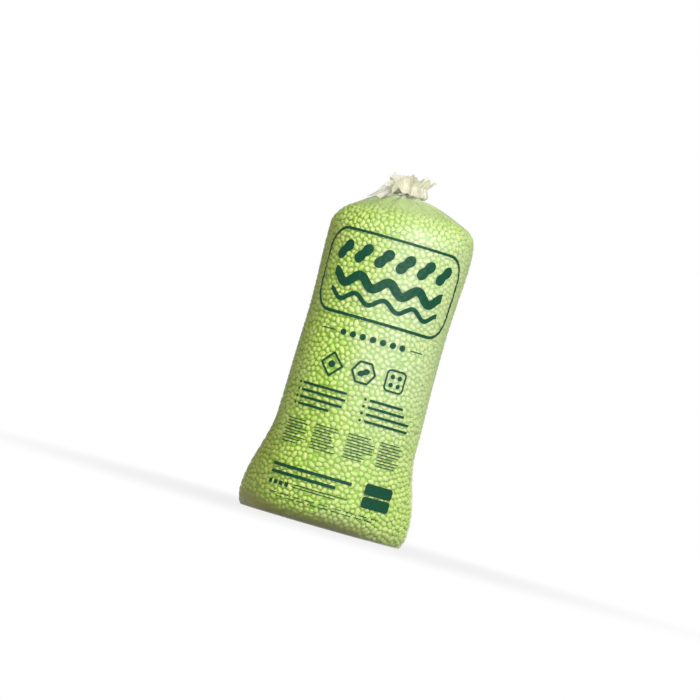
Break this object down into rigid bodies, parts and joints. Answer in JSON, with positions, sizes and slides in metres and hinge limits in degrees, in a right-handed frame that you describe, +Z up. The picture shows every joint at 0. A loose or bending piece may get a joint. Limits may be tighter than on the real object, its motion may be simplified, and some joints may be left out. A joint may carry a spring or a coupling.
{
  "type": "packing peanut bag",
  "caption": "Tall clear film sack full of light green loose-fill packing peanuts, its neck gathered, closed with a wire tie and flaring into a ruffle.",
  "frame": {"origin": "middle of the flat base, where the sack meets the floor", "axes": "+Z up along the sack, the printed face looks along -Y, +X to the right of that face, which is also the line of the weld under the sack"},
  "size_m": [0.774, 0.6018, 1.6012],
  "materials": {
    "film": "thin milky see-through polyethylene film",
    "peanuts": "light green foamed polystyrene, matt",
    "tie": "off-white plastic over a steel wire"
  },
  "bodies": {
    "root": {"film_sack": "film", "peanut_load": "peanuts", "neck_tie": "tie"}
  },
  "joints": []
}
